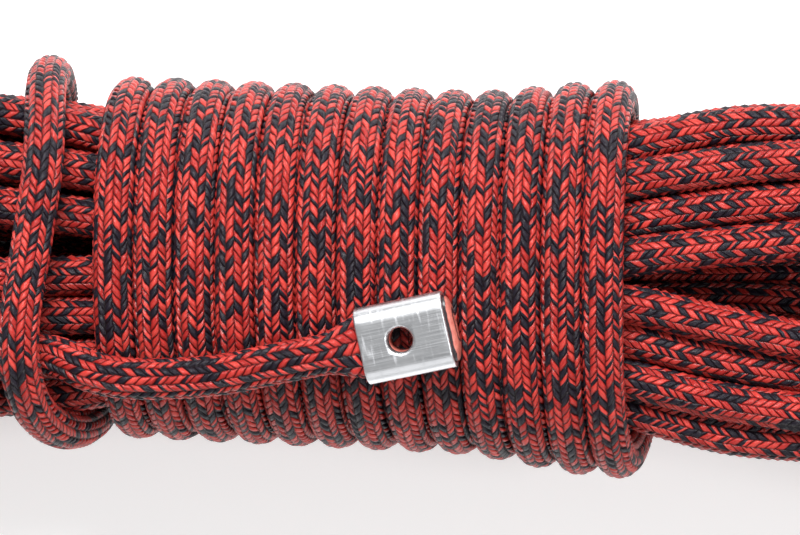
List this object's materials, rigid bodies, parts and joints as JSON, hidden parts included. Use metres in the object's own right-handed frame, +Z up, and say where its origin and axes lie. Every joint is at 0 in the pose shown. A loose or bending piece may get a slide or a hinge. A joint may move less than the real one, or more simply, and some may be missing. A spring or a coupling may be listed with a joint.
{
  "type": "dynamic climbing rope",
  "caption": "Braided dynamic climbing rope put up as a skein, its waist bound by touching wraps and a locking turn, with flat pressed ferrules on its free ends",
  "frame": {"origin": "on the ground, under the middle of the waist winding, at the middle of the flat underside of its seventh wrap", "axes": "+X along the hank towards the open eye of the skein, +Y across it, +Z up from the surface that it lies on"},
  "size_m": [0.485, 0.105, 0.0876],
  "materials": {
    "sheath": "braided polyamide sheath of red and blue-black yarns, slightly glossy filaments",
    "core": "twisted raw white polyamide core yarns",
    "sealed_end": "sheath and core melted together, dull, with a dark rim",
    "ferrule": "pressed aluminium, lengthways brushed faces and bright rolled edges"
  },
  "bodies": {
    "hank": {"hank_strands": "sheath", "waist_winding": "sheath", "locking_turn": "sheath", "tucked_stretch": "sheath", "start_lead": "sheath"},
    "tail_end": {"tail_sheath": "sheath", "tail_core_strand_1": "core", "tail_core_strand_2": "core", "tail_core_strand_3": "core", "tail_core_strand_4": "core", "tail_core_strand_5": "core", "tail_core_strand_6": "core", "tail_core_strand_7": "core", "tail_crimped_end": "sealed_end", "tail_ferrule": "ferrule"},
    "start_end": {"start_sheath": "sheath", "start_core_strand_1": "core", "start_core_strand_2": "core", "start_core_strand_3": "core", "start_core_strand_4": "core", "start_core_strand_5": "core", "start_core_strand_6": "core", "start_core_strand_7": "core", "start_crimped_end": "sealed_end", "start_ferrule": "ferrule"}
  },
  "joints": [
    {"name": "tail_lift", "type": "hinge", "parent": "hank", "child": "tail_end", "pos_m": [-0.07309, -0.02146, 0.0782], "axis": [-0.2941, -0.9558, 0], "range_deg": [0, 60]},
    {"name": "start_lift", "type": "hinge", "parent": "hank", "child": "start_end", "pos_m": [-0.20026, 0.02567, 0.06567], "axis": [0.0515, -0.9987, 0], "range_deg": [0, 60]}
  ]
}
